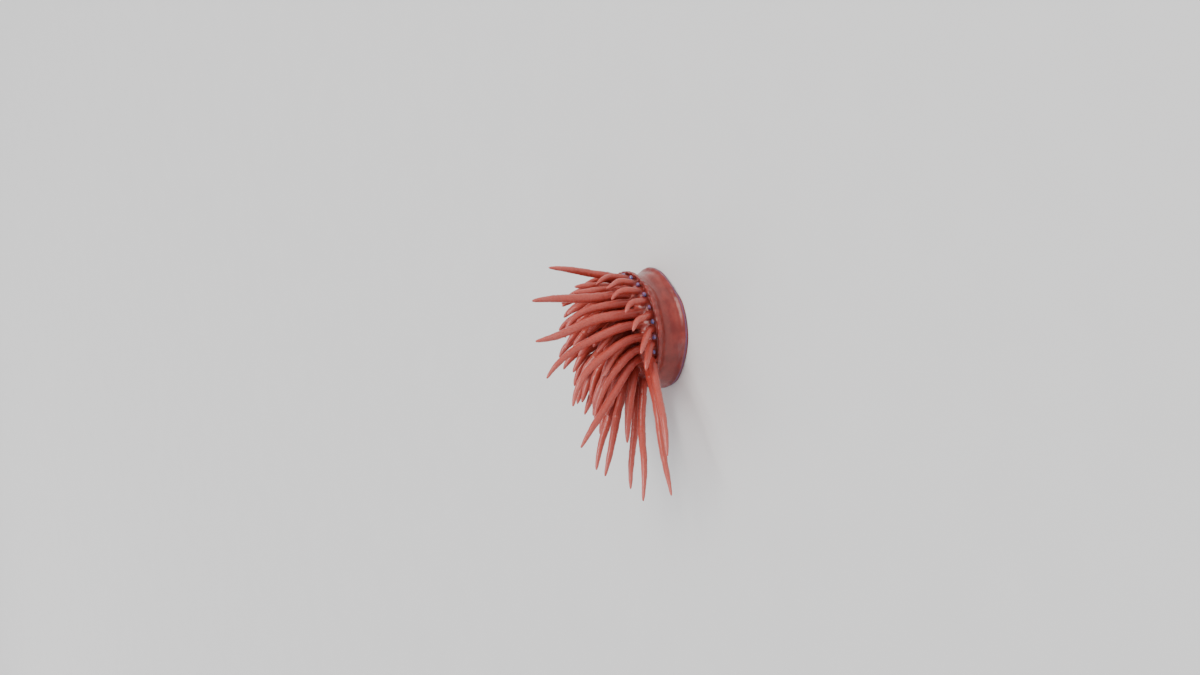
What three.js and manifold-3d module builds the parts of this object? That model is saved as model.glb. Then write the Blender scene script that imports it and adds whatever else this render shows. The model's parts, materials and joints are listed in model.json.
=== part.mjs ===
// Beadlet anemone, Actinia equina, life size, with its crown open and its tentacles streaming to -X.
// Millimetres, +Z up. The pedal disc lies on z = 0, and the origin is the centre of its underside.
import * as THREE from "three";
import { mergeVertices } from "three/addons/utils/BufferGeometryUtils.js";
import Module from "manifold-3d";

const wasm = await Module();
wasm.setup();

// Column, from the foot up.
const footRadius = 13.4;
const footHeight = 1.5;
const waistRadius = 12;
const columnTop = 5.9;
const collarRadius = 13.3;
const collarTop = 7.15;
const gap = 0.3; // left between neighbouring pieces

// Crown: a level oral disc, whose edge turns down over the collar.
const discHeight = 9.6;
const discRadius = 8.6;
const marginRadius = 12.3;
const marginFall = 0.17; // the margin drops by this times the square of its distance past the turn
const turnRadius = 8.8;
const lipRadius = 2.9;
const lipStretch = 1.35; // the mouth is a slit along Y
const throatRadius = 1.5;
const lipFolds = 6;
const lipSink = 0.35; // of the lips' foot below the disc
const beadCount = 24; // acrorhagi, between the outer tentacles
const beadRadius = 0.62;

// Tentacles by cycle, the oldest and innermost first. Lean is measured up from the level, in degrees,
// and girth is half the thickness at the root.
const cycles = [
  { count: 6, turn: 0, ring: 5.3, lean: 80, length: 12.5, girth: 1.18 },
  { count: 6, turn: 30, ring: 5.3, lean: 77, length: 11.5, girth: 1.14 },
  { count: 12, turn: 15, ring: 7.6, lean: 69, length: 13, girth: 1.1 },
  { count: 24, turn: 7.5, ring: 9.8, lean: 58, length: 13.5, girth: 1.03 },
  { count: 24, turn: 0, ring: 11.9, lean: 36, length: 8.5, girth: 0.84 },
];
// Tentacles that hold a pose of their own, by cycle and place in it. Sag is the early pull of the
// droop, bend the later one, late the power by which it comes, and fold what the first lean loses.
// Wave is how far a tentacle swings from side to side, over so many turns from a phase.
const posed = {
  "4_24": { lean: 80, sag: 0, bend: 0.2, late: 2, fold: 0, length: 10.5 },
  "4_23": { lean: 84, sag: 0, bend: 0.2, late: 2, fold: 0, length: 12.5 },
  "4_22": {
    lean: 86, sag: 0, bend: 0.08, late: 2, fold: 0,
    length: 23, girth: 1.2, wave: 0.1, turns: 1.1, phase: 0.5,
  },
  "4_21": { lean: 86, sag: 0.12, bend: 2.6, late: 6, fold: 0.3, length: 19.5, wave: 0 },
  "4_20": {
    lean: 87, sag: 0.22, bend: 0, late: 2, fold: 0,
    length: 25, girth: 1.22, wave: 0.12, turns: 1.2, phase: 0,
  },
  "4_19": {
    lean: 88, sag: 0.22, bend: 1, late: 3, fold: 0.1,
    length: 25.5, girth: 1.05, wave: 0.08, turns: 1, phase: 0.5,
  },
  "4_18": {
    lean: 86, sag: 0.42, bend: 2.6, late: 5, fold: 0.4, length: 23.5, wave: 0.1, turns: 1, phase: 0.5,
  },
  "4_17": {
    lean: 80, sag: 0.65, bend: 2.8, late: 4, fold: 0.6, length: 20, wave: 0.1, turns: 1, phase: 0.5,
  },
  "4_16": {
    lean: 70, sag: 0.95, bend: 0, late: 2, fold: 0, length: 25.5, wave: 0.3, turns: 1.2, phase: 0.5,
  },
  "4_15": {
    lean: 38, sag: 0.9, bend: 1.2, late: 2, fold: 0.6, length: 17, wave: 0.15, turns: 1, phase: 0.2,
  },
  "4_14": {
    lean: 48, sag: 1.2, bend: 0.3, late: 2, fold: 0.2, length: 23.5, wave: 0.25, turns: 1.2, phase: 0.6,
  },
  "4_13": {
    lean: 54, sag: 1.1, bend: 0.5, late: 2, fold: 0.4, length: 21.5, wave: 0.25, turns: 1.1, phase: 0.1,
  },
  "5_1": {
    lean: 76, sag: 0, bend: 0.1, late: 2, fold: 0,
    length: 17, girth: 0.95, wave: 0.15, turns: 1.2, phase: 0,
  },
  "5_14": {
    lean: 20, sag: 0.3, bend: 0.6, late: 2, fold: 0.2,
    length: 23, girth: 0.95, wave: 0.2, turns: 1.1, phase: 0.1,
  },
  "5_15": {
    lean: 20, sag: 0.3, bend: 0.2, late: 2, fold: 0,
    length: 28, girth: 0.95, wave: 0.25, turns: 1.3, phase: 0.5,
  },
  "5_16": {
    lean: 14, sag: 0.3, bend: 0.5, late: 3, fold: 0.1,
    length: 31.5, girth: 0.95, wave: 0.2, turns: 1.2, phase: 0.2,
  },
  "5_17": {
    lean: 16, sag: 0.6, bend: 0.8, late: 3, fold: 0.4,
    length: 25, girth: 0.95, wave: 0.2, turns: 1.1, phase: 0.6,
  },
};
// How the rest vary round the crown. Its low side is the one that they stream to.
const highLean = 86; // degrees, which those away from the low side near
const highShare = 0.75; // of the way there
const lowDip = 8; // degrees lost on the low side
const farCut = 0.2; // of their length, on the +Y side
const lowGain = 0.08; // of their length, on the low side
const turnScatter = 0.8; // degrees
const ringScatter = 0.06;
const leanScatter = 3; // degrees
const lengthScatter = 0.08; // of the length
const waveSize = 0.22;
const posedGive = 0.7; // how easily a posed tentacle is pushed aside, against 1 for the rest
const droopRise = 6; // degrees
const droop = new THREE.Vector3(-Math.cos(radians(droopRise)), 0, Math.sin(radians(droopRise)));
const taper = 0.24; // of the girth, lost evenly along a tentacle
const tipLoss = 0.86; // of what is left, lost at the tip
const tipPower = 5;
const steps = 16; // along each tentacle
const stations = [2, 4, 7, 10, 13, 15, 16]; // the steps where a grown tentacle's solid has a ring
const youngStations = [4, 8, 12, 16];
const grownSides = 6;
const youngSides = 5;
const goldenShare = 0.6180339887;
const plasticShare = 0.7548776662;
const rounds = 100; // of tentacles pushing each other apart
const nearBy = 6; // points of two lines further apart than this never meet
const clearance = 0.36; // that they reach between their sides
const rootDepth = 1.2; // how far a tentacle's stem runs on into the disc before it is trimmed
const ringTurns = 32; // flat sides of the turned pieces
const marginSteps = 3;

function radians(degrees) {
  return (degrees * Math.PI) / 180;
}

// An even, repeatable spread of numbers from -1 to 1.
function scatter(index, use) {
  return 2 * ((index * goldenShare + use * plasticShare) % 1) - 1;
}

// ---- Tentacle paths ----

function marginHeight(radius) {
  return discHeight - marginFall * Math.max(0, radius - turnRadius) ** 2;
}

// The tentacles in order, each with its place, lean and droop.
function layOut() {
  const tentacles = [];
  cycles.forEach((cycle, c) => {
    for (let k = 0; k < cycle.count; k++) {
      const index = tentacles.length;
      const angle = radians((360 * k) / cycle.count + cycle.turn);
      const low = 0.5 - 0.5 * Math.cos(angle);
      const rise = highShare * (highLean - cycle.lean) * (1 - low);
      const stretch = 1 - lowGain * (1 - low) - farCut * Math.max(0, Math.sin(angle));
      const name = `${c + 1}_${k + 1}`;
      const own = {
        angle: angle + radians(turnScatter * scatter(index, 1)),
        ring: cycle.ring + ringScatter * scatter(index, 2),
        lean: cycle.lean + rise - lowDip * low + leanScatter * scatter(index, 3),
        length: cycle.length * (1 + lengthScatter * scatter(index, 4)) * stretch,
        girth: cycle.girth,
        sag: 0.2 + 0.5 * low,
        bend: 0.5 + 0.75 * low + 0.25 * scatter(index, 5),
        late: 2,
        fold: 0.3,
        wave: index % 2 ? waveSize : -waveSize,
        turns: 0.9 + 0.25 * scatter(index, 6),
        phase: 0.5 + 0.5 * scatter(index, 7),
        give: 1,
      };
      const pose = posed[name] ? { ...posed[name], give: posedGive } : {};
      tentacles.push({ name, cycle: c + 1, ...own, ...pose });
    }
  });
  return tentacles;
}

// A tentacle's centre line, drawn step by step from the disc.
function trace(t) {
  const outward = new THREE.Vector3(Math.cos(t.angle), Math.sin(t.angle), 0);
  const sideways = new THREE.Vector3(-Math.sin(t.angle), Math.cos(t.angle), 0);
  const first = outward.clone().multiplyScalar(Math.cos(radians(t.lean)));
  first.z = Math.sin(radians(t.lean));
  const points = [outward.clone().multiplyScalar(t.ring).setZ(marginHeight(t.ring))];
  for (let i = 0; i < steps; i++) {
    const s = (i + 0.5) / steps;
    const pull = t.sag * (1 - (1 - s) ** 4) + t.bend * s ** t.late;
    const swing = t.wave * Math.min(1, 4 * s) * Math.sin(2 * Math.PI * (t.turns * s + t.phase));
    const way = first.clone().multiplyScalar(1 - t.fold * s).addScaledVector(droop, pull);
    way.addScaledVector(sideways, swing);
    points.push(points[i].clone().addScaledVector(way.normalize(), t.length / steps));
  }
  return points;
}

// Half the thickness at s, which runs from 0 at the disc to 1 at the tip.
function thickness(t, s) {
  return t.girth * (1 - taper * s) * (1 - tipLoss * s ** tipPower) ** 0.6;
}

// Moves the centre lines apart until the tentacles clear each other, keeping each one smooth.
function spread(tentacles) {
  const lines = tentacles.map(trace);
  const reach = lines.map((line, t) => line.map((_, i) => thickness(tentacles[t], i / steps)));
  const close = [];
  for (let a = 0; a < lines.length; a++)
    for (let b = a + 1; b < lines.length; b++)
      for (let i = 0; i <= steps; i++)
        for (let j = 0; j <= steps; j++)
          if (lines[a][i].distanceTo(lines[b][j]) < nearBy) close.push([a, i, b, j]);
  const zeros = () => lines.map((line) => line.map(() => new THREE.Vector3()));
  let shift = zeros();
  for (let round = 0; round < rounds; round++) {
    const push = zeros();
    const hits = lines.map((line) => line.map(() => 0));
    for (const [a, i, b, j] of close) {
      const apart = lines[a][i].clone().add(shift[a][i]).sub(lines[b][j]).sub(shift[b][j]);
      const far = apart.length();
      const lack = reach[a][i] + reach[b][j] + clearance - far;
      if (lack <= 0) continue;
      push[a][i].addScaledVector(apart, (0.5 * lack) / far);
      push[b][j].addScaledVector(apart, (-0.5 * lack) / far);
      hits[a][i]++;
      hits[b][j]++;
    }
    shift.forEach((row, t) =>
      row.forEach((move, i) => {
        const share = tentacles[t].give / Math.sqrt(Math.max(1, hits[t][i]));
        if (i > 0) move.addScaledVector(push[t][i], share);
      }),
    );
    shift = evened(evened(shift));
  }
  return lines.map((line, t) => line.map((p, i) => p.clone().add(shift[t][i])));
}

// Each move shared with its neighbours along the tentacle, so that no kink forms.
function evened(shift) {
  return shift.map((row) =>
    row.map((move, i) => {
      if (i === 0) return move.clone();
      const before = row[i - 1];
      const half = move.clone().multiplyScalar(0.5);
      if (i === steps) return half.add(before).addScaledVector(row[i - 2], -0.5);
      return half.addScaledVector(before, 0.25).addScaledVector(row[i + 1], 0.25);
    }),
  );
}

// ---- Solids ----

function solidOf(geometry) {
  const bare = geometry.clone();
  bare.deleteAttribute("normal");
  bare.deleteAttribute("uv");
  const merged = mergeVertices(bare, 1e-4);
  const vertProperties = new Float32Array(merged.attributes.position.array);
  const triVerts = new Uint32Array(merged.index.array);
  return new wasm.Manifold(new wasm.Mesh({ numProp: 3, vertProperties, triVerts }));
}

function geometryOf(solid) {
  const { vertProperties, triVerts } = solid.getMesh();
  const geometry = new THREE.BufferGeometry();
  geometry.setAttribute("position", new THREE.BufferAttribute(new Float32Array(vertProperties), 3));
  geometry.setIndex(new THREE.BufferAttribute(new Uint32Array(triVerts), 1));
  geometry.computeVertexNormals();
  return geometry;
}

// A profile of [radius, height] turned about Z. It runs upwards on its outer side.
function turned(profile, sides = ringTurns) {
  const points = profile.map(([radius, height]) => new THREE.Vector2(radius, height));
  return new THREE.LatheGeometry(points, sides).rotateX(Math.PI / 2);
}

// The foot spreads in shallow lobes, which die out towards the collar.
function lobed(geometry) {
  const place = geometry.attributes.position;
  for (let i = 0; i < place.count; i++) {
    const angle = Math.atan2(place.getY(i), place.getX(i));
    const fade = Math.max(0, 1 - place.getZ(i) / collarTop);
    const swell = 0.022 * Math.sin(3 * angle + 0.6) + 0.014 * Math.sin(5 * angle + 2.1);
    place.setX(i, place.getX(i) * (1 + fade * swell));
    place.setY(i, place.getY(i) * (1 + fade * swell));
  }
  return geometry;
}

// A closed tube of the given sides along a line of points, with a rounded end at its tip.
function tube(points, radii, sides) {
  const place = [];
  const index = [];
  const last = points.length - 1;
  let across = new THREE.Vector3(0, 1, 0);
  points.forEach((p, i) => {
    const along = points[Math.min(i + 1, last)].clone().sub(points[Math.max(i - 1, 0)]).normalize();
    across = across.addScaledVector(along, -across.dot(along)).normalize();
    const third = along.clone().cross(across);
    for (let k = 0; k < sides; k++) {
      const turn = (2 * Math.PI * k) / sides;
      const q = p.clone().addScaledVector(across, radii[i] * Math.cos(turn));
      place.push(...q.addScaledVector(third, radii[i] * Math.sin(turn)));
    }
  });
  const end = points[last].clone().sub(points[last - 1]).normalize();
  place.push(...points[0]);
  place.push(...points[last].clone().addScaledVector(end, 0.8 * radii[last]));
  const root = points.length * sides;
  for (let k = 0; k < sides; k++) {
    const next = (k + 1) % sides;
    index.push(root, next, k);
    index.push(root + 1, last * sides + k, last * sides + next);
    for (let i = 0; i < last; i++) {
      const a = i * sides + k;
      const b = i * sides + next;
      index.push(a, b, b + sides, a, b + sides, a + sides);
    }
  }
  const geometry = new THREE.BufferGeometry();
  geometry.setAttribute("position", new THREE.Float32BufferAttribute(place, 3));
  geometry.setIndex(index);
  return geometry;
}

// A tentacle with its stem run on into the disc, ringed at the given steps of its line.
function tentacleSolid(t, line, sides, rings, extra = 0) {
  const inward = line[0].clone().sub(line[1]).normalize();
  const points = [line[0].clone().addScaledVector(inward, rootDepth)];
  const radii = [thickness(t, 0) + extra];
  for (const i of rings) {
    points.push(line[i]);
    radii.push(thickness(t, i / steps) + extra);
  }
  return solidOf(tube(points, radii, sides));
}

// A tentacle cut off level with the disc, one gap clear of it.
function trimmed(t, solid) {
  const slope = 2 * marginFall * Math.max(0, t.ring - turnRadius);
  const up = new THREE.Vector3(slope * Math.cos(t.angle), slope * Math.sin(t.angle), 1).normalize();
  const foot = new THREE.Vector3(Math.cos(t.angle), Math.sin(t.angle), 0).multiplyScalar(t.ring);
  foot.z = marginHeight(t.ring);
  return solid.trimByPlane([up.x, up.y, up.z], up.dot(foot) + gap);
}

function footSolid() {
  const profile = [[0, 0], [footRadius - 0.5, 0], [footRadius, 0.5], [footRadius - 0.2, 1]];
  profile.push([footRadius - 0.75, footHeight], [0, footHeight]);
  return solidOf(lobed(turned(profile)));
}

function columnSolid() {
  const bottom = footHeight + gap;
  const profile = [[0, bottom], [footRadius - 0.8, bottom], [waistRadius + 0.55, bottom + 0.7]];
  profile.push([waistRadius + 0.1, bottom + 1.7], [waistRadius + 0.2, columnTop - 1.1]);
  profile.push([collarRadius - 0.3, columnTop], [0, columnTop]);
  return solidOf(lobed(turned(profile)));
}

// The parapet, a rolled rim on the column's top edge.
function collarSolid() {
  const bottom = columnTop + gap;
  const inner = marginRadius + gap;
  const profile = [[inner, bottom], [collarRadius - 0.35, bottom], [collarRadius, bottom + 0.4]];
  profile.push([collarRadius - 0.15, collarTop - 0.15], [inner + 0.2, collarTop], [inner, bottom]);
  return solidOf(turned(profile));
}

// Widens a piece along Y, as the slit of the mouth is.
function slit(geometry) {
  return geometry.scale(1, lipStretch, 1);
}

function lipsSolid() {
  const bottom = discHeight - lipSink;
  const profile = [[throatRadius, bottom], [lipRadius, bottom], [lipRadius - 0.1, bottom + 0.6]];
  profile.push([lipRadius - 0.6, bottom + 1.2], [throatRadius + 0.3, bottom + 1.1], [throatRadius, bottom]);
  const geometry = turned(profile, 4 * lipFolds);
  const place = geometry.attributes.position;
  for (let i = 0; i < place.count; i++) {
    const fold = 1 + 0.06 * Math.cos(lipFolds * Math.atan2(place.getY(i), place.getX(i)));
    place.setX(i, place.getX(i) * fold);
    place.setY(i, place.getY(i) * fold);
  }
  return solidOf(slit(geometry));
}

// The bare middle of the crown, dished round the lips, with the throat let into it.
function discSolid() {
  const bottom = columnTop + gap;
  const dish = discHeight - lipSink - gap;
  const profile = [[0, bottom], [discRadius - gap, bottom], [discRadius - gap, discHeight]];
  profile.push([lipRadius * lipStretch + 0.9, discHeight], [lipRadius * lipStretch + 0.4, dish], [0, dish]);
  const throat = [[0, dish - 1.6], [throatRadius - 0.5, dish - 1.6], [throatRadius - 0.2, dish + 0.2]];
  throat.push([0, dish + 0.2]);
  return solidOf(turned(profile)).subtract(solidOf(slit(turned(throat, 4 * lipFolds))));
}

function beadSolid(k) {
  const bead = new THREE.SphereGeometry(beadRadius, 5, 3);
  const angle = radians((360 * (k + 0.5)) / beadCount);
  const out = marginRadius + 0.05;
  bead.translate(out * Math.cos(angle), out * Math.sin(angle), marginHeight(marginRadius) + beadRadius);
  return solidOf(bead);
}

// The outer edge of the disc, with the youngest tentacles and the beads joined to it.
function marginSolid(young, besides) {
  const bottom = columnTop + gap;
  const profile = [];
  for (let k = marginSteps; k >= 0; k--) {
    const radius = turnRadius + ((marginRadius - turnRadius) * k) / marginSteps;
    profile.push([radius, marginHeight(radius)]);
  }
  profile.push([discRadius, discHeight], [discRadius, bottom], [marginRadius, bottom], profile[0]);
  let beads = beadSolid(0);
  for (let k = 1; k < beadCount; k++) beads = beads.add(beadSolid(k));
  for (const grown of besides) beads = beads.subtract(grown);
  let margin = solidOf(turned(profile));
  for (const solid of young) margin = margin.add(solid);
  return largest(margin.add(beads));
}

// Leaves out the crumbs of beads that a cut parts from the rest.
function largest(solid) {
  return solid.decompose().reduce((a, b) => (b.volume() > a.volume() ? b : a));
}

// ---- Assembly ----

const skinColours = { column: 0x7c1f1a, disc: 0x9c2a20, tentacle: 0xb03228 };
const anemone = new THREE.Group();

function place(name, solid, colour) {
  const material = new THREE.MeshStandardMaterial({ color: colour, roughness: 0.3, metalness: 0 });
  const mesh = new THREE.Mesh(geometryOf(solid), material);
  mesh.name = name;
  anemone.add(mesh);
}

const tentacles = layOut();
const lines = spread(tentacles);
const young = [];
const besides = [];
tentacles.forEach((t, i) => {
  const outer = t.cycle === cycles.length;
  if (outer && t.give === 1) {
    young.push(tentacleSolid(t, lines[i], youngSides, youngStations));
    return;
  }
  if (outer) besides.push(tentacleSolid(t, lines[i], grownSides, stations, gap));
  const grown = trimmed(t, tentacleSolid(t, lines[i], grownSides, stations));
  place(`tentacle_${t.name}`, grown, skinColours.tentacle);
});
place("pedal_disc", footSolid(), skinColours.column);
place("column", columnSolid(), skinColours.column);
place("collar", collarSolid(), skinColours.column);
place("disc_margin", marginSolid(young, besides), skinColours.disc);
place("oral_disc", discSolid(), skinColours.disc);
place("lips", lipsSolid(), skinColours.disc);

export default anemone;
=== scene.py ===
# Beadlet anemone, Actinia equina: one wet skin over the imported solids, on a pale floor.
# Built in millimetres and put into Blender in metres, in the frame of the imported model.
import json
import math

import bpy
import numpy as np
from mathutils import Matrix, Vector
from mathutils.kdtree import KDTree

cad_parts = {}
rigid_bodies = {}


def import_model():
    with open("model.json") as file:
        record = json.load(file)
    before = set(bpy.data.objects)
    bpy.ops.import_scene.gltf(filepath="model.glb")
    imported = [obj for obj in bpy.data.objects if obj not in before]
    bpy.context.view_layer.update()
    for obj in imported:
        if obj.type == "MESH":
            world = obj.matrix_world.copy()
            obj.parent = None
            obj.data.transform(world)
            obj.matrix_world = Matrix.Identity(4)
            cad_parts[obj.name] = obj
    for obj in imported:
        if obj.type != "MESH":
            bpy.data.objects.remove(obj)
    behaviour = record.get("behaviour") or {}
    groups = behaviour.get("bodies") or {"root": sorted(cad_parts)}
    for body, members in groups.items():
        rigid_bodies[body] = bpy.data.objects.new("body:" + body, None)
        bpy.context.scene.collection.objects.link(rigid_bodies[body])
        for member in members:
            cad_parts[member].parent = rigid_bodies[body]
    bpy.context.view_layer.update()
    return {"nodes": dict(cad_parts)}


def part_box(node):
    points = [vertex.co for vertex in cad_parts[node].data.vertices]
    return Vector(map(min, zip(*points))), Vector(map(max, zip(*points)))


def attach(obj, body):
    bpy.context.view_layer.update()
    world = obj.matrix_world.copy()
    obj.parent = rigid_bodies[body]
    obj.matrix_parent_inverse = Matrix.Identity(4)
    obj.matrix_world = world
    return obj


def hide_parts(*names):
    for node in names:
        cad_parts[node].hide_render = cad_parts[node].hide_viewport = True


for leftover in list(bpy.data.objects):
    bpy.data.objects.remove(leftover)
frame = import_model()
mm = 0.001


def top(node):
    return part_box(node)[1].z / mm


# camera and its view
view = {
    "elevation": 27.0,  # degrees above the floor
    "roll": 6.0,  # degrees, past the quarter turn that sets the wall down as a floor
    "distance": 367.0,
    "lens": 50.0,
    "sensor": 36.0,
    "width": 1200,
    "height": 675,
    "clip": (0.01, 20),
    "footAt": (657, 329),  # pixel of the foot's centre
}


def makeCamera():
    e, r = math.radians(view["elevation"]), math.radians(view["roll"])
    away = Vector((1, 0, 0))
    rise = Vector((0, math.sin(e), math.cos(e)))
    back = Vector((0, -math.cos(e), math.sin(e)))
    right = -math.sin(r) * away - math.cos(r) * rise
    up = math.cos(r) * away - math.sin(r) * rise
    perMm = view["width"] * view["lens"] / view["sensor"] / view["distance"]
    aim = right * (view["width"] / 2 - view["footAt"][0]) / perMm
    aim += up * (view["footAt"][1] - view["height"] / 2) / perMm
    eye = (aim + back * view["distance"]) * mm
    data = bpy.data.cameras.new("camera")
    data.lens = view["lens"]
    data.sensor_width = view["sensor"]
    data.clip_start, data.clip_end = view["clip"]
    camera = bpy.data.objects.new("camera", data)
    camera.matrix_world = Matrix.Translation(eye) @ Matrix((right, up, back)).transposed().to_4x4()
    bpy.context.scene.collection.objects.link(camera)
    bpy.context.scene.camera = camera


# tentacle paths, grown as the solids are
crown = {
    # one row a cycle, the innermost first: count, turn, ring, lean, length, girth
    "cycles": [
        (6, 0, 5.3, 80, 12.5, 1.18),
        (6, 30, 5.3, 77, 11.5, 1.14),
        (12, 15, 7.6, 69, 13, 1.1),
        (24, 7.5, 9.8, 58, 13.5, 1.03),
        (24, 0, 11.9, 36, 8.5, 0.84),
    ],
    # tentacles with a pose of their own: sag is the early droop, bend the later one, late the power by
    # which it comes, fold what the first lean loses, and wave the swing to the side over so many turns
    "posed": {
        "4_24": {"lean": 80, "sag": 0, "bend": 0.2, "late": 2, "fold": 0, "length": 10.5},
        "4_23": {"lean": 84, "sag": 0, "bend": 0.2, "late": 2, "fold": 0, "length": 12.5},
        "4_22": {
            "lean": 86, "sag": 0, "bend": 0.08, "late": 2, "fold": 0,
            "length": 23, "girth": 1.2, "wave": 0.1, "turns": 1.1, "phase": 0.5,
        },
        "4_21": {
            "lean": 86, "sag": 0.12, "bend": 2.6, "late": 6, "fold": 0.3,
            "length": 19.5, "wave": 0,
        },
        "4_20": {
            "lean": 87, "sag": 0.22, "bend": 0, "late": 2, "fold": 0,
            "length": 25, "girth": 1.22, "wave": 0.12, "turns": 1.2, "phase": 0,
        },
        "4_19": {
            "lean": 88, "sag": 0.22, "bend": 1, "late": 3, "fold": 0.1,
            "length": 25.5, "girth": 1.05, "wave": 0.08, "turns": 1, "phase": 0.5,
        },
        "4_18": {
            "lean": 86, "sag": 0.42, "bend": 2.6, "late": 5, "fold": 0.4,
            "length": 23.5, "wave": 0.1, "turns": 1, "phase": 0.5,
        },
        "4_17": {
            "lean": 80, "sag": 0.65, "bend": 2.8, "late": 4, "fold": 0.6,
            "length": 20, "wave": 0.1, "turns": 1, "phase": 0.5,
        },
        "4_16": {
            "lean": 70, "sag": 0.95, "bend": 0, "late": 2, "fold": 0,
            "length": 25.5, "wave": 0.3, "turns": 1.2, "phase": 0.5,
        },
        "4_15": {
            "lean": 38, "sag": 0.9, "bend": 1.2, "late": 2, "fold": 0.6,
            "length": 17, "wave": 0.15, "turns": 1, "phase": 0.2,
        },
        "4_14": {
            "lean": 48, "sag": 1.2, "bend": 0.3, "late": 2, "fold": 0.2,
            "length": 23.5, "wave": 0.25, "turns": 1.2, "phase": 0.6,
        },
        "4_13": {
            "lean": 54, "sag": 1.1, "bend": 0.5, "late": 2, "fold": 0.4,
            "length": 21.5, "wave": 0.25, "turns": 1.1, "phase": 0.1,
        },
        "5_1": {
            "lean": 76, "sag": 0, "bend": 0.1, "late": 2, "fold": 0,
            "length": 17, "girth": 0.95, "wave": 0.15, "turns": 1.2, "phase": 0,
        },
        "5_14": {
            "lean": 20, "sag": 0.3, "bend": 0.6, "late": 2, "fold": 0.2,
            "length": 23, "girth": 0.95, "wave": 0.2, "turns": 1.1, "phase": 0.1,
        },
        "5_15": {
            "lean": 20, "sag": 0.3, "bend": 0.2, "late": 2, "fold": 0,
            "length": 28, "girth": 0.95, "wave": 0.25, "turns": 1.3, "phase": 0.5,
        },
        "5_16": {
            "lean": 14, "sag": 0.3, "bend": 0.5, "late": 3, "fold": 0.1,
            "length": 31.5, "girth": 0.95, "wave": 0.2, "turns": 1.2, "phase": 0.2,
        },
        "5_17": {
            "lean": 16, "sag": 0.6, "bend": 0.8, "late": 3, "fold": 0.4,
            "length": 25, "girth": 0.95, "wave": 0.2, "turns": 1.1, "phase": 0.6,
        },
    },
    "posedGive": 0.7,  # how far a posed tentacle gives way to its neighbours
    "highLean": 86,  # degrees, what the +X side stands up towards
    "highShare": 0.75,
    "lowDip": 8,  # degrees by which the -X side leans lower
    "farCut": 0.2,  # of the length, lost on the +Y side
    "lowGain": 0.08,  # of the length, lost on the +X side
    "droopRise": 6,
    "turnScatter": 0.8,
    "ringScatter": 0.06,
    "leanScatter": 3,
    "lengthScatter": 0.08,
    "waveSize": 0.22,
    "waveStart": 0.25,  # part of the length over which a wave grows
    "sag": (0.2, 0.5),  # least, and what the -X side adds
    "sagPower": 4,
    "bend": (0.5, 0.75, 0.25),  # least, what the -X side adds, and its scatter
    "late": 2,
    "fold": 0.3,
    "turns": (0.9, 0.25),  # middle and scatter
    "phase": (0.5, 0.5),
    "taper": 0.24,
    "tipTaper": 0.86,
    "tipPower": 5,
    "tipRound": 0.6,
    "steps": 16,
    "rounds": 100,
    "clearance": 0.36,
    "nearBy": 6,  # mm, within which lines can come to touch
    "marginFall": 0.17,
    "turnRadius": 8.8,
}


def scatter(index, use):
    return 2 * ((index * 0.6180339887 + use * 0.7548776662) % 1) - 1


def marginHeight(radius):
    return top("oral_disc") - crown["marginFall"] * np.maximum(0, radius - crown["turnRadius"]) ** 2


def layOut():
    bendLeast, bendLow, bendScatter = crown["bend"]
    tentacles = []
    for c, (count, turn, ring, lean, length, girth) in enumerate(crown["cycles"]):
        for k in range(count):
            i = len(tentacles)
            angle = math.radians(360 * k / count + turn)
            low = 0.5 - 0.5 * math.cos(angle)
            rise = crown["highShare"] * (crown["highLean"] - lean) * (1 - low)
            stretch = 1 - crown["lowGain"] * (1 - low) - crown["farCut"] * max(0, math.sin(angle))
            own = {
                "name": f"{c + 1}_{k + 1}",
                "angle": angle + math.radians(crown["turnScatter"] * scatter(i, 1)),
                "ring": ring + crown["ringScatter"] * scatter(i, 2),
                "lean": lean + rise - crown["lowDip"] * low + crown["leanScatter"] * scatter(i, 3),
                "length": length * (1 + crown["lengthScatter"] * scatter(i, 4)) * stretch,
                "girth": girth,
                "sag": crown["sag"][0] + crown["sag"][1] * low,
                "bend": bendLeast + bendLow * low + bendScatter * scatter(i, 5),
                "late": crown["late"],
                "fold": crown["fold"],
                "wave": crown["waveSize"] if i % 2 else -crown["waveSize"],
                "turns": crown["turns"][0] + crown["turns"][1] * scatter(i, 6),
                "phase": crown["phase"][0] + crown["phase"][1] * scatter(i, 7),
                "give": 1.0,
            }
            if own["name"] in crown["posed"]:
                own.update(crown["posed"][own["name"]], give=crown["posedGive"])
            tentacles.append(own)
    return tentacles


def traceLine(t):
    droopRise = math.radians(crown["droopRise"])
    droop = np.array((-math.cos(droopRise), 0, math.sin(droopRise)))
    outward = np.array((math.cos(t["angle"]), math.sin(t["angle"]), 0))
    sideways = np.array((-math.sin(t["angle"]), math.cos(t["angle"]), 0))
    first = outward * math.cos(math.radians(t["lean"]))
    first[2] = math.sin(math.radians(t["lean"]))
    point = outward * t["ring"]
    point[2] = marginHeight(t["ring"])
    points = [point]
    for i in range(crown["steps"]):
        s = (i + 0.5) / crown["steps"]
        pull = t["sag"] * (1 - (1 - s) ** crown["sagPower"]) + t["bend"] * s ** t["late"]
        turn = 2 * math.pi * (t["turns"] * s + t["phase"])
        swing = t["wave"] * min(1, s / crown["waveStart"]) * math.sin(turn)
        way = first * (1 - t["fold"] * s) + droop * pull + sideways * swing
        points.append(points[-1] + way / np.linalg.norm(way) * t["length"] / crown["steps"])
    return np.array(points)


def thickness(girth, s):
    tip = (1 - crown["tipTaper"] * s ** crown["tipPower"]) ** crown["tipRound"]
    return girth * (1 - crown["taper"] * s) * tip


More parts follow.
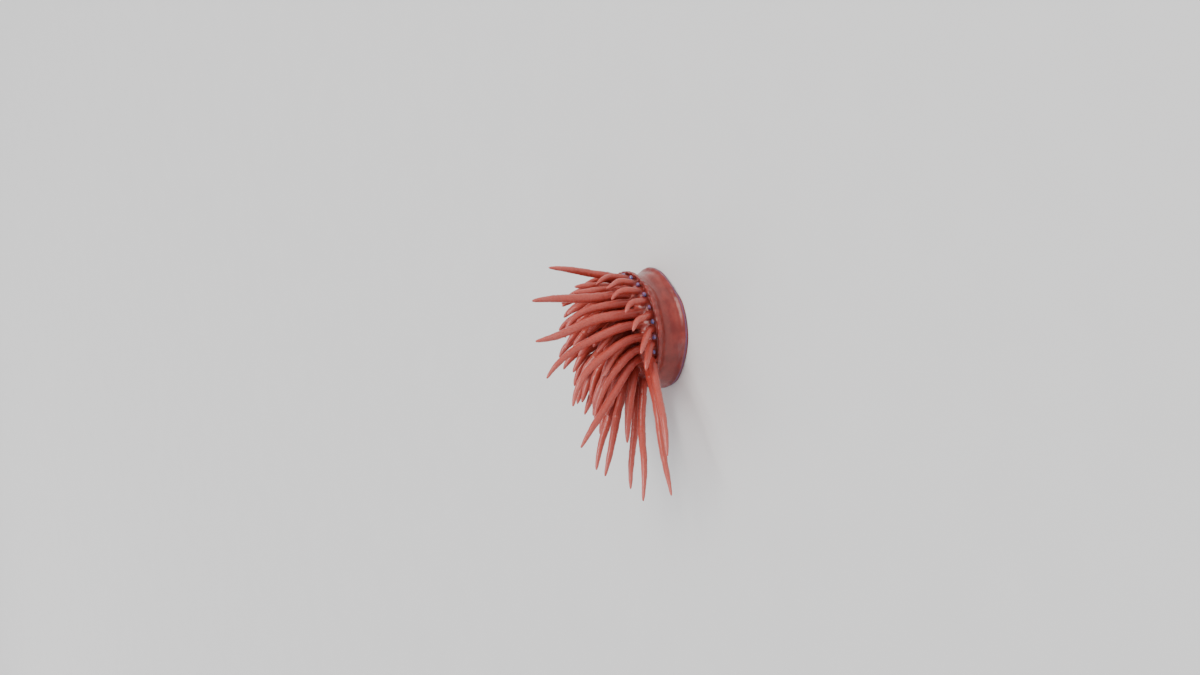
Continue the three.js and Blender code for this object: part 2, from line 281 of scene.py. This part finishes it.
# pushes the lines apart until the tentacles clear each other, as the solids do
def spreadLines(tentacles):
    lines = np.array([traceLine(t) for t in tentacles])
    count, stops, _ = lines.shape
    reach = np.concatenate([thickness(t["girth"], np.arange(stops) / crown["steps"]) for t in tentacles])
    flat = lines.reshape(-1, 3)
    owner = np.repeat(np.arange(count), stops)
    apart = np.linalg.norm(flat[:, None] - flat[None], axis=2)
    a, b = np.nonzero((apart < crown["nearBy"]) & (owner[:, None] < owner[None]))
    give = np.repeat([t["give"] for t in tentacles], stops)
    shift = np.zeros_like(flat)
    for _ in range(crown["rounds"]):
        between = flat[a] + shift[a] - flat[b] - shift[b]
        far = np.linalg.norm(between, axis=1)
        lack = reach[a] + reach[b] + crown["clearance"] - far
        hit = lack > 0
        move = between[hit] * (0.5 * lack[hit] / far[hit])[:, None]
        push = np.zeros_like(flat)
        np.add.at(push, a[hit], move)
        np.add.at(push, b[hit], -move)
        hits = np.bincount(a[hit], minlength=len(flat)) + np.bincount(b[hit], minlength=len(flat))
        push *= (give / np.sqrt(np.maximum(1, hits)))[:, None]
        push[::stops] = 0
        moved = (shift + push).reshape(count, stops, 3)
        for _ in range(2):
            even = moved.copy()
            even[:, 1:-1] = 0.5 * moved[:, 1:-1] + 0.25 * (moved[:, :-2] + moved[:, 2:])
            even[:, -1] = 0.5 * moved[:, -1] + moved[:, -2] - 0.5 * moved[:, -3]
            moved = even
        shift = moved.reshape(-1, 3)
    return lines + shift.reshape(lines.shape)


# a smooth curve through the points of a line, with as many stops as asked
def smoothLine(points, stops):
    padded = np.vstack((2 * points[0] - points[1], points, 2 * points[-1] - points[-2]))
    u = np.linspace(0, len(points) - 1, stops)
    i = np.minimum(u.astype(int), len(points) - 2)
    f = (u - i)[:, None]
    a, b, c, d = padded[i], padded[i + 1], padded[i + 2], padded[i + 3]
    square = (2 * a - 5 * b + 4 * c - d) * f ** 2
    cube = (3 * b - a - 3 * c + d) * f ** 3
    return 0.5 * (2 * b + (c - a) * f + square + cube)


# raw shapes that the skin is cast from
body = {
    "turns": 288,
    "footRadius": 13.4,
    "waist": 12.0,
    "collarRadius": 13.3,
    "collarCrest": 12.85,
    "grooveRadius": 12.25,  # between the collar and the margin of the disc
    "marginRadius": 12.1,
    "discRings": (11.4, 10.6, 9.8, 8.8),
    "discDish": 0.35,
    "lipHeight": 0.85,
    "lipStretch": 1.35,
    "lipFolds": 14,
    "lipFoldDepth": 0.07,
    "slit": 0.3,
    "mouthEdge": 4.6,
    "mouthFade": 1.4,
    "throatRadius": 1.15,
    "throatDepth": 2.6,
    "lobes": ((0.022, 3, 0.6), (0.014, 5, 2.1)),  # of the radius, how many, and their turn
    "lobesFrom": 6,
}


def revolve(profile, turns):
    angles = np.arange(turns) * 2 * math.pi / turns
    rings = []
    for radius, height in profile:
        heights = np.full(turns, height)
        rings.append(np.stack((radius * np.cos(angles), radius * np.sin(angles), heights), 1))
    low = np.array([[0, 0, profile[0][1]]])
    high = np.array([[0, 0, profile[-1][1]]])
    points = np.vstack(rings + [low, high])
    faces = []
    last = len(profile) - 1
    for k in range(turns):
        n = (k + 1) % turns
        faces.append((len(points) - 2, n, k))
        faces.append((len(points) - 1, last * turns + k, last * turns + n))
        for i in range(last):
            faces.append((i * turns + k, i * turns + n, (i + 1) * turns + n, (i + 1) * turns + k))
    return points, faces


# a round path through corner points, which keeps its first and last
def rounded(corners, passes=3):
    points = [tuple(c) for c in corners]
    for _ in range(passes):
        cut = [points[0]]
        for (ax, ay), (bx, by) in zip(points, points[1:]):
            cut.append((0.75 * ax + 0.25 * bx, 0.75 * ay + 0.25 * by))
            cut.append((0.25 * ax + 0.75 * bx, 0.25 * ay + 0.75 * by))
        cut.append(points[-1])
        points = cut
    return points


def bodyShape():
    footRadius = body["footRadius"]
    waist = body["waist"]
    columnTop = top("column")
    collarTop = top("collar")
    disc = top("oral_disc")
    collarRadius = body["collarRadius"]
    groove = body["grooveRadius"]
    dish = disc - body["discDish"]
    lip = disc + body["lipHeight"]
    throat = disc - body["throatDepth"]
    corners = [(0.5, 0), (12.5, 0), (footRadius - 0.15, 0), (footRadius, 0.35), (footRadius - 0.05, 0.8)]
    corners += [(footRadius - 0.75, 1.5), (waist + 0.45, 2.6), (waist + 0.1, 3.6)]
    corners += [(waist + 0.25, 4.8), (collarRadius - 0.3, columnTop), (collarRadius, columnTop + 0.5)]
    corners += [(collarRadius - 0.05, collarTop - 0.05), (body["collarCrest"], collarTop + 0.02)]
    corners += [(groove + 0.1, collarTop - 0.75), (groove, collarTop - 0.6)]
    corners.append((groove - 0.1, marginHeight(body["marginRadius"]) + 0.05))
    for radius in body["discRings"]:
        corners.append((radius, float(marginHeight(radius))))
    corners += [(7.2, disc), (5.4, disc - 0.05), (4.2, dish - 0.05), (3.3, dish - 0.15)]
    corners += [(3.0, disc + 0.1), (2.5, lip), (1.7, lip - 0.05), (1.3, disc - 0.2)]
    corners += [(body["throatRadius"], disc - 1.4), (0.9, throat), (0.3, throat - 0.2)]
    points, faces = revolve(rounded(corners), body["turns"])
    angle = np.arctan2(points[:, 1], points[:, 0])
    radius = np.hypot(points[:, 0], points[:, 1])
    # the foot's lobes
    fade = np.clip(1 - points[:, 2] / collarTop, 0, 1) * (radius > body["lobesFrom"])
    lobes = sum(size * np.sin(count * angle + turn) for size, count, turn in body["lobes"])
    points[:, :2] *= (1 + fade * lobes)[:, None]
    # the slit of the mouth, with folded lips
    mouth = np.clip((body["mouthEdge"] - radius) / body["mouthFade"], 0, 1)
    mouth *= (points[:, 2] > disc - 3.5) * (points[:, 2] > 1)
    folds = body["lipFoldDepth"] * np.cos(body["lipFolds"] * angle)
    fold = 1 + folds * mouth * np.clip(radius / 2, 0, 1)
    points[:, 0] *= fold
    points[:, 1] *= fold * (1 + (body["lipStretch"] - 1) * mouth)
    points[:, 0] *= 1 - body["slit"] * mouth * np.clip((2.2 - radius) / 1.2, 0, 1)
    return points, faces


skinTube = {
    "sides": 24,
    "stops": 64,
    "rootDepth": 1.4,
    "girthShare": 0.97,  # of the solid's own reach
    "rootPlace": -0.03,
    "capTurns": (25, 50, 72, 86),  # degrees, of the rings round the tip
    "castSlim": 0.2,  # lost while the skin is cast, so that neighbours stay apart
    "slimFrom": (1.0, 3.5),  # mm from the root
    "slimTo": (0.92, 0.98),  # of the length
}


def tubeShape(line, radii, sides):
    along = np.gradient(line, axis=0)
    along /= np.linalg.norm(along, axis=1)[:, None]
    across = np.cross(along[0], (0, 0, 1) if abs(along[0][2]) < 0.9 else (0, 1, 0))
    turn = np.arange(sides) * 2 * math.pi / sides
    rings = []
    for point, way, radius in zip(line, along, radii):
        across = across - way * across.dot(way)
        across /= np.linalg.norm(across)
        third = np.cross(way, across)
        rings.append(point + radius * (np.outer(np.cos(turn), across) + np.outer(np.sin(turn), third)))
    points = np.vstack(rings + [line[:1], line[-1:]])
    faces = []
    last = len(line) - 1
    for k in range(sides):
        n = (k + 1) % sides
        faces.append((len(points) - 2, n, k))
        faces.append((len(points) - 1, last * sides + k, last * sides + n))
        for i in range(last):
            faces.append((i * sides + k, i * sides + n, (i + 1) * sides + n, (i + 1) * sides + k))
    return points, faces


# a tentacle's line from its root in the disc to the end of its round tip, with its radii and place s
def tentacleLine(t, line):
    stops = skinTube["stops"]
    curve = smoothLine(line, stops)
    s = np.linspace(0, 1, stops)
    radii = thickness(t["girth"], s) * skinTube["girthShare"]
    inward = (curve[0] - curve[1]) / np.linalg.norm(curve[0] - curve[1])
    root = curve[0] + inward * skinTube["rootDepth"]
    end = (curve[-1] - curve[-2]) / np.linalg.norm(curve[-1] - curve[-2])
    capTurns = np.radians(skinTube["capTurns"])
    cap = curve[-1] + np.outer(np.sin(capTurns), end) * radii[-1]
    curve = np.vstack((root, curve, cap))
    radii = np.concatenate((radii[:1], radii, radii[-1] * np.cos(capTurns)))
    s = np.concatenate(([skinTube["rootPlace"]], s, np.ones(len(capTurns))))
    return curve, radii, s


# the tube that a tentacle is cast from, slimmer than it ends up between its root and its tip
def castTube(t, curve, radii, places):
    slim = ramp(places * t["length"], *skinTube["slimFrom"]) * (1 - ramp(places, *skinTube["slimTo"]))
    return tubeShape(curve, radii * (1 - skinTube["castSlim"] * slim), skinTube["sides"])


beads = {
    "count": 24,
    "radius": 0.5,
    "out": 12.45,
    "seat": 12.3,
    "lift": 0.2,  # above the margin's edge
    "squash": 0.82,
    "uneven": 0.14,  # of the radius
    "dent": 0.035,
    "dentSize": 0.9,
    "rings": 24,
    "turns": 40,
    "colour": (0.08, 0.1, 0.27),
    "rimColour": (0.26, 0.05, 0.07),
    "roughness": 0.3,
    "coat": 0.4,
    "mottle": 1800,  # noise scale, per metre
    "mottleEdge": (0.35, 0.7),
}


def beadCentres():
    turn = np.radians(360 * (np.arange(beads["count"]) + 0.5) / beads["count"])
    height = float(marginHeight(beads["seat"])) + beads["lift"]
    heights = np.full(beads["count"], height)
    return np.stack((beads["out"] * np.cos(turn), beads["out"] * np.sin(turn), heights), 1)


# small blunt vesicles inside the collar's rim, each a little uneven
def makeBeads():
    shapes = []
    for i, centre in enumerate(beadCentres()):
        radius = beads["radius"] * (1 + beads["uneven"] * scatter(i, 3))
        profile = []
        for k in range(1, beads["rings"]):
            a = math.pi * k / beads["rings"]
            profile.append((radius * math.sin(a), -radius * beads["squash"] * math.cos(a)))
        points, faces = revolve(profile, beads["turns"])
        points *= (1 + beads["dent"] * swell(points + i, beads["dentSize"], seed=i + 20))[:, None]
        shapes.append((points + centre, faces))
    points, faces = joined(shapes)
    obj = newMesh("acrorhagi", points * mm, faces)
    smoothShaded(obj.data)
    obj.data.materials.append(beadMaterial())
    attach(obj, "root")


def smoothShaded(mesh):
    mesh.polygons.foreach_set("use_smooth", np.ones(len(mesh.polygons), dtype=bool))


def beadMaterial():
    material = bpy.data.materials.new("blueBeads")
    material.use_nodes = True
    nodes, links = material.node_tree.nodes, material.node_tree.links
    shader = nodes["Principled BSDF"]
    noise = nodes.new("ShaderNodeTexNoise")
    noise.inputs["Scale"].default_value = beads["mottle"]
    noise.inputs["Detail"].default_value = 3
    links.new(nodes.new("ShaderNodeTexCoord").outputs["Object"], noise.inputs["Vector"])
    tint = nodes.new("ShaderNodeMix")
    tint.data_type = "RGBA"
    tint.inputs[6].default_value = colour(beads["colour"])
    tint.inputs[7].default_value = colour(beads["rimColour"])
    share = nodes.new("ShaderNodeMapRange")
    share.inputs["From Min"].default_value, share.inputs["From Max"].default_value = beads["mottleEdge"]
    links.new(noise.outputs["Fac"], share.inputs["Value"])
    links.new(share.outputs["Result"], tint.inputs[0])
    links.new(tint.outputs[2], shader.inputs["Base Color"])
    shader.inputs["Roughness"].default_value = beads["roughness"]
    shader.inputs["Coat Weight"].default_value = beads["coat"]
    shader.inputs["Coat Roughness"].default_value = 0.12
    shader.inputs["Subsurface Weight"].default_value = 0.25
    shader.inputs["Subsurface Scale"].default_value = 0.0003
    return material


def joined(shapes):
    points, faces, start = [], [], 0
    for p, f in shapes:
        points.append(p)
        faces += [tuple(i + start for i in face) for face in f]
        start += len(p)
    return np.vstack(points), faces


def newMesh(name, points, faces):
    mesh = bpy.data.meshes.new(name)
    mesh.from_pydata(np.asarray(points).tolist(), [], faces)
    mesh.validate()
    obj = bpy.data.objects.new(name, mesh)
    bpy.context.scene.collection.objects.link(obj)
    return obj


# the skin
skin = {
    "voxel": 0.16,
    "relax": 8,
    "smooth": 0.55,
    "regain": 0.58,
    # spans over which one part passes into the next, in mm, or in tentacle radii where they say near
    "tentacleFrom": (0.1, 1.1),
    "tentacleNear": (1.25, 1.6),
    "holdFrom": (1.4, 3.0),
    "holdNear": (1.2, 1.4),
    "holdTo": 0.985,
    "filletTo": (0.6, 2.2),
    "filletNear": (1.5, 2.3),
    "filletDepth": 2.6,
    "filletShare": 0.6,
    "filletRounds": 20,
}


def pointsOf(obj):
    points = np.empty(len(obj.data.vertices) * 3)
    obj.data.vertices.foreach_get("co", points)
    return points.reshape(-1, 3)


def edgesOf(obj):
    edges = np.empty(len(obj.data.edges) * 2, dtype=np.int32)
    obj.data.edges.foreach_get("vertices", edges)
    return edges.reshape(-1, 2)


def castSkin(shapes):
    points, faces = joined(shapes)
    obj = newMesh("skin", points, faces)
    remesh = obj.modifiers.new("cast", "REMESH")
    remesh.mode = "VOXEL"
    remesh.voxel_size = skin["voxel"]
    depsgraph = bpy.context.evaluated_depsgraph_get()
    mesh = bpy.data.meshes.new_from_object(obj.evaluated_get(depsgraph))
    obj.modifiers.clear()
    obj.data = mesh
    return obj


def averaged(points, edges):
    total = np.zeros_like(points)
    for axis in range(3):
        total[:, axis] += np.bincount(edges[:, 0], points[edges[:, 1], axis], len(points))
        total[:, axis] += np.bincount(edges[:, 1], points[edges[:, 0], axis], len(points))
    degree = np.bincount(edges.ravel(), minlength=len(points))
    return total / np.maximum(1, degree)[:, None]


# smooths without shrinking
def relaxed(points, edges, rounds):
    for _ in range(rounds):
        points = points + skin["smooth"] * (averaged(points, edges) - points)
        points = points - skin["regain"] * (averaged(points, edges) - points)
    return points


# smooth, even noise from a few waves in scattered directions, between about -1 and 1
def swell(points, size, waves=18, seed=1):
    rng = np.random.default_rng(seed)
    way = rng.normal(size=(waves, 3))
    way /= np.linalg.norm(way, axis=1)[:, None]
    pace = 2 * math.pi / size * rng.uniform(0.7, 1.4, waves)
    phase = rng.uniform(0, 2 * math.pi, waves)
    total = np.zeros(len(points))
    for w, k, p in zip(way, pace, phase):
        total += np.sin(points @ w * k + p)
    return total / math.sqrt(waves)


def ramp(value, low, high):
    x = np.clip((value - low) / (high - low), 0, 1)
    return x * x * (3 - 2 * x)


# which tentacle each point of the skin is on: its place along, how near to the axis, and the way out
def findTentacles(points, curves):
    centres = np.vstack([c for c, r, s in curves])
    radii = np.concatenate([r for c, r, s in curves])
    places = np.concatenate([s for c, r, s in curves])
    owner = np.concatenate([np.full(len(c), i) for i, (c, r, s) in enumerate(curves)])
    along = np.vstack([np.gradient(c, axis=0) for c, r, s in curves])
    along /= np.linalg.norm(along, axis=1)[:, None]
    tree = KDTree(len(centres))
    for i, c in enumerate(centres):
        tree.insert(c, i)
    tree.balance()
    near = np.array([tree.find(p)[1] for p in points])
    # a point between two stops gets a share of both
    way = points - centres[near]
    ahead = np.einsum("ij,ij->i", way, along[near])
    other = np.clip(near + np.where(ahead > 0, 1, -1), 0, len(centres) - 1)
    other = np.where(owner[other] == owner[near], other, near)
    gap = centres[other] - centres[near]
    share = np.einsum("ij,ij->i", way, gap) / np.maximum(1e-9, np.einsum("ij,ij->i", gap, gap))
    share = np.clip(share, 0, 1)
    centre = centres[near] + gap * share[:, None]
    radius = radii[near] + (radii[other] - radii[near]) * share
    place = places[near] + (places[other] - places[near]) * share
    out = points - centre
    far = np.linalg.norm(out, axis=1)
    return owner[near], place, centre, radius, out / np.maximum(1e-6, far)[:, None], far / radius


relief = {
    "rings": 0.022,  # of a tentacle's radius
    "lumps": 0.045,
    "rays": 0.05,  # mm, on the disc
    "columnWrinkle": 0.035,
    "columnSwell": 0.14,
    "collarScallop": 0.07,
    "footScallop": 0.05,
    "rayCount": 48,
    "footCount": 36,
    "wrinkleStretch": (0.35, 0.35, 1.9),
}


def shapeSkin(obj, curves, tentacles):
    points = pointsOf(obj)
    edges = edgesOf(obj)
    points = relaxed(points, edges, skin["relax"])
    owner, place, centre, radius, out, nearness = findTentacles(points, curves)
    length = np.array([t["length"] for t in tentacles])[owner]
    height = place * length
    onTentacle = (1 - ramp(nearness, *skin["tentacleNear"])) * ramp(height, *skin["tentacleFrom"])
    # the tentacles come back to their exact round, a little lumpy and ringed
    lumps = swell(points + owner[:, None] * 7.3, 3.4, seed=3)
    rings = swell(np.stack((height * 4.5, owner * 3.1, lumps * 0.4), 1), 3.2, seed=4)
    wish = radius * (1 + relief["lumps"] * lumps + relief["rings"] * rings)
    hold = (1 - ramp(nearness, *skin["holdNear"])) * ramp(height, *skin["holdFrom"])
    hold *= place < skin["holdTo"]
    points = points + ((centre + out * wish[:, None]) - points) * hold[:, None]
    # the joins between the tentacles and the disc are filled and smoothed
    disc = top("oral_disc")
    angle = np.arctan2(points[:, 1], points[:, 0])
    across = np.hypot(points[:, 0], points[:, 1])
    fillet = (1 - ramp(height, *skin["filletTo"])) * (1 - ramp(nearness, *skin["filletNear"]))
    fillet *= points[:, 2] > disc - skin["filletDepth"]
    for _ in range(skin["filletRounds"]):
        points = points + (averaged(points, edges) - points) * (skin["filletShare"] * fillet)[:, None]
    # rays on the disc, wrinkles and swells on the column, and a scalloped collar and foot
    ownBody = 1 - onTentacle
    rayWave = np.cos(relief["rayCount"] * angle)
    collarTop, columnTop, level = top("collar"), top("column"), points[:, 2]
    discPart = ownBody * ramp(level, collarTop + 0.6, collarTop + 1.6) * ramp(across, 2.9, 3.8)
    columnPart = ownBody * (1 - ramp(level, collarTop - 0.6, collarTop)) * ramp(across, 10.8, 11.6)
    wrinkle = swell(points * relief["wrinkleStretch"], 3.1, seed=5)
    collarPart = ownBody * ramp(across, 12.6, 12.95) * ramp(level, columnTop + 0.1, columnTop + 0.6)
    footPart = ownBody * ramp(across, 11.9, 12.6) * (1 - ramp(level, 0.9, 1.7)) * ramp(level, 0.05, 0.4)
    move = relief["rays"] * rayWave * discPart
    bulge = swell(points, 9, seed=6)
    move += columnPart * (1 - footPart) * (relief["columnWrinkle"] * wrinkle + relief["columnSwell"] * bulge)
    move += relief["collarScallop"] * collarPart * np.cos(relief["rayCount"] * angle + 0.6 * wrinkle)
    footWave = 0.4 * np.cos(relief["footCount"] * angle) + 0.6 * swell(points, 3.4, seed=8)
    move += relief["footScallop"] * footPart * footWave
    mesh = obj.data
    mesh.vertices.foreach_set("co", points.ravel())
    mesh.update()
    normals = np.empty(len(points) * 3)
    mesh.vertices.foreach_get("normal", normals)
    points = points + normals.reshape(-1, 3) * move[:, None]
    points[:, 2] = np.maximum(points[:, 2], 0)
    mesh.vertices.foreach_set("co", (points * mm).ravel())
    smoothShaded(mesh)
    tones = np.array([scatter(i, 9) for i in range(len(tentacles))])
    mouth = ownBody * (1 - ramp(across, 3.4, 4.6)) * (points[:, 2] > disc - 3)
    write(mesh, "tentacle", onTentacle)
    write(mesh, "along", np.clip(place, 0, 1) * onTentacle)
    write(mesh, "tone", tones[owner] * onTentacle)
    write(mesh, "disc", np.clip(discPart + mouth, 0, 1))
    write(mesh, "ray", rayWave)
    write(mesh, "mouth", mouth)
    write(mesh, "limbus", footPart * ramp(points[:, 2], 0.2, 0.4) * (1 - ramp(points[:, 2], 0.55, 0.8)))
    write(mesh, "wrinkle", columnPart * wrinkle)
    mesh.update()


def write(mesh, name, values):
    attribute = mesh.attributes.new(name, "FLOAT", "POINT")
    attribute.data.foreach_set("value", np.asarray(values, dtype=np.float32))


# materials
flesh = {
    "column": (0.27, 0.034, 0.024),
    "columnDark": (0.16, 0.018, 0.014),
    "disc": (0.31, 0.042, 0.029),
    "discRay": (0.44, 0.075, 0.05),
    "root": (0.36, 0.043, 0.03),
    "shaft": (0.48, 0.076, 0.052),
    "tip": (0.54, 0.112, 0.088),
    "lips": (0.5, 0.08, 0.055),
    "limbus": (0.1, 0.1, 0.24),
    "roughness": 0.36,
    "subsurface": 0.3,
    "scatterDepth": 0.0006,
    "scatterTint": (1.0, 0.3, 0.2),
    "ior": 1.4,
    "coat": 0.35,
    "coatRoughness": 0.14,
    "bumpHeight": 0.00004,
    "bumpStrength": 0.6,
    "specks": 5200,  # noise scale for the pores, per metre
    "clouds": 420,
}


def colour(rgb):
    return (*rgb, 1.0)


def fleshMaterial():
    material = bpy.data.materials.new("wetFlesh")
    material.use_nodes = True
    tree = material.node_tree
    nodes, links = tree.nodes, tree.links
    shader = nodes["Principled BSDF"]

    def attribute(name):
        node = nodes.new("ShaderNodeAttribute")
        node.attribute_name = name
        return node.outputs["Fac"]

    def reach(value, low, high, toLow=0.0, toHigh=1.0):
        node = nodes.new("ShaderNodeMapRange")
        node.interpolation_type = "SMOOTHSTEP"
        node.inputs["From Min"].default_value = low
        node.inputs["From Max"].default_value = high
        node.inputs["To Min"].default_value = toLow
        node.inputs["To Max"].default_value = toHigh
        links.new(value, node.inputs["Value"])
        return node.outputs["Result"]

    def times(a, b):
        node = nodes.new("ShaderNodeMath")
        node.operation = "MULTIPLY"
        links.new(a, node.inputs[0])
        if isinstance(b, float):
            node.inputs[1].default_value = b
        else:
            links.new(b, node.inputs[1])
        return node.outputs["Value"]

    def blended(share, low, high):
        node = nodes.new("ShaderNodeMix")
        node.data_type = "RGBA"
        for socket, value in ((node.inputs[6], low), (node.inputs[7], high)):
            if isinstance(value, tuple):
                socket.default_value = colour(value)
            else:
                links.new(value, socket)
        links.new(share, node.inputs[0])
        return node.outputs[2]

    place = nodes.new("ShaderNodeTexCoord").outputs["Object"]

    def noise(scale, detail, roughness=0.55):
        node = nodes.new("ShaderNodeTexNoise")
        node.inputs["Scale"].default_value = scale
        node.inputs["Detail"].default_value = detail
        node.inputs["Roughness"].default_value = roughness
        links.new(place, node.inputs["Vector"])
        return node.outputs["Fac"]

    clouds = noise(flesh["clouds"], 3.0)
    grain = noise(flesh["specks"] * 0.45, 4.0, 0.65)
    column = blended(reach(clouds, 0.35, 0.65), flesh["columnDark"], flesh["column"])
    column = blended(reach(attribute("wrinkle"), -0.2, 1.6, 0.0, 0.4), column, flesh["disc"])
    disc = blended(reach(attribute("ray"), 0.45, 0.95, 0.0, 0.75), flesh["disc"], flesh["discRay"])
    shaft = blended(reach(attribute("along"), 0.0, 0.45), flesh["root"], flesh["shaft"])
    shaft = blended(reach(attribute("along"), 0.55, 1.0), shaft, flesh["tip"])
    base = blended(attribute("disc"), column, disc)
    base = blended(reach(attribute("mouth"), 0.2, 0.9, 0.0, 0.7), base, flesh["lips"])
    base = blended(attribute("tentacle"), base, shaft)
    base = blended(reach(grain, 0.35, 0.75, 0.0, 0.35), base, flesh["columnDark"])
    base = blended(times(reach(attribute("tone"), -1.0, 1.0), 0.28), base, flesh["root"])
    base = blended(reach(attribute("limbus"), 0.1, 0.9, 0.0, 0.45), base, flesh["limbus"])
    links.new(base, shader.inputs["Base Color"])
    roughness = reach(grain, 0.3, 0.7, flesh["roughness"] - 0.07, flesh["roughness"] + 0.1)
    links.new(roughness, shader.inputs["Roughness"])
    shader.inputs["Subsurface Weight"].default_value = flesh["subsurface"]
    shader.inputs["Subsurface Radius"].default_value = flesh["scatterTint"]
    shader.inputs["Subsurface Scale"].default_value = flesh["scatterDepth"]
    shader.inputs["IOR"].default_value = flesh["ior"]
    shader.inputs["Coat Weight"].default_value = flesh["coat"]
    shader.inputs["Coat Roughness"].default_value = flesh["coatRoughness"]
    pores = noise(flesh["specks"], 3.0, 0.6)
    bump = nodes.new("ShaderNodeBump")
    bump.inputs["Strength"].default_value = flesh["bumpStrength"]
    bump.inputs["Distance"].default_value = flesh["bumpHeight"]
    links.new(pores, bump.inputs["Height"])
    links.new(bump.outputs["Normal"], shader.inputs["Normal"])
    return material


# floor and lights
studio = {
    "floorHalf": 4.0,
    "floorColour": (0.78, 0.77, 0.75),
    "floorRoughness": 0.75,
    "floorShade": 0.95,
    "floorMottle": 60,
    "floorDrop": 0.00002,
    "world": (0.86, 0.9, 1.0),
    "worldStrength": 0.6,
    # name: place in metres, size, watts, colour
    "lights": {
        "key": ((1.0, -0.6, 1.1), 0.9, 14.4, (1.0, 0.96, 0.9)),
        "fill": ((-1.2, -1.0, 0.8), 1.2, 5.6, (0.9, 0.95, 1.0)),
        "back": ((-0.3, 1.2, 0.9), 1.0, 7.2, (1.0, 0.98, 0.95)),
    },
    "sky": ((0.35, -0.25, 1.0), 1.6, 30),  # way it comes from, strength, softness in degrees
}


def makeFloor():
    half = studio["floorHalf"]
    corners = [(-half, -half, 0), (half, -half, 0), (half, half, 0), (-half, half, 0)]
    floor = newMesh("floor", corners, [(0, 1, 2, 3)])
    floor.location.z = -studio["floorDrop"]
    material = bpy.data.materials.new("palePlaster")
    material.use_nodes = True
    nodes, links = material.node_tree.nodes, material.node_tree.links
    shader = nodes["Principled BSDF"]
    noise = nodes.new("ShaderNodeTexNoise")
    noise.inputs["Scale"].default_value = studio["floorMottle"]
    noise.inputs["Detail"].default_value = 6
    tint = nodes.new("ShaderNodeMix")
    tint.data_type = "RGBA"
    tint.inputs[6].default_value = colour(studio["floorColour"])
    tint.inputs[7].default_value = colour(tuple(c * studio["floorShade"] for c in studio["floorColour"]))
    links.new(nodes.new("ShaderNodeTexCoord").outputs["Object"], noise.inputs["Vector"])
    links.new(noise.outputs["Fac"], tint.inputs[0])
    links.new(tint.outputs[2], shader.inputs["Base Color"])
    shader.inputs["Roughness"].default_value = studio["floorRoughness"]
    floor.data.materials.append(material)


def makeLights():
    world = bpy.data.worlds.new("softRoom")
    world.use_nodes = True
    background = world.node_tree.nodes["Background"]
    background.inputs["Color"].default_value = colour(studio["world"])
    background.inputs["Strength"].default_value = studio["worldStrength"]
    bpy.context.scene.world = world
    for name, (place, size, watts, tint) in studio["lights"].items():
        data = bpy.data.lights.new(name, "AREA")
        data.shape = "DISK"
        data.size = size
        data.energy = watts
        data.color = tint
        light = bpy.data.objects.new(name, data)
        light.location = place
        light.rotation_euler = (-Vector(place)).to_track_quat("-Z", "Y").to_euler()
        bpy.context.scene.collection.objects.link(light)
    place, strength, softness = studio["sky"]
    data = bpy.data.lights.new("sky", "SUN")
    data.energy = strength
    data.angle = math.radians(softness)
    light = bpy.data.objects.new("sky", data)
    light.rotation_euler = (-Vector(place)).to_track_quat("-Z", "Y").to_euler()
    bpy.context.scene.collection.objects.link(light)


print("camera, floor and lights")
makeCamera()
makeFloor()
makeLights()
print("tentacle paths")
tentacles = layOut()
lines = spreadLines(tentacles)
curves = [tentacleLine(t, line) for t, line in zip(tentacles, lines)]
print("casting the skin")
shapes = [bodyShape()] + [castTube(t, *curve) for t, curve in zip(tentacles, curves)]
skinPiece = castSkin(shapes)
print("shaping the skin,", len(skinPiece.data.vertices), "points")
shapeSkin(skinPiece, curves, tentacles)
skinPiece.data.materials.clear()
skinPiece.data.materials.append(fleshMaterial())
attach(skinPiece, "root")
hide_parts(*sorted(frame["nodes"]))
print("beads")
makeBeads()
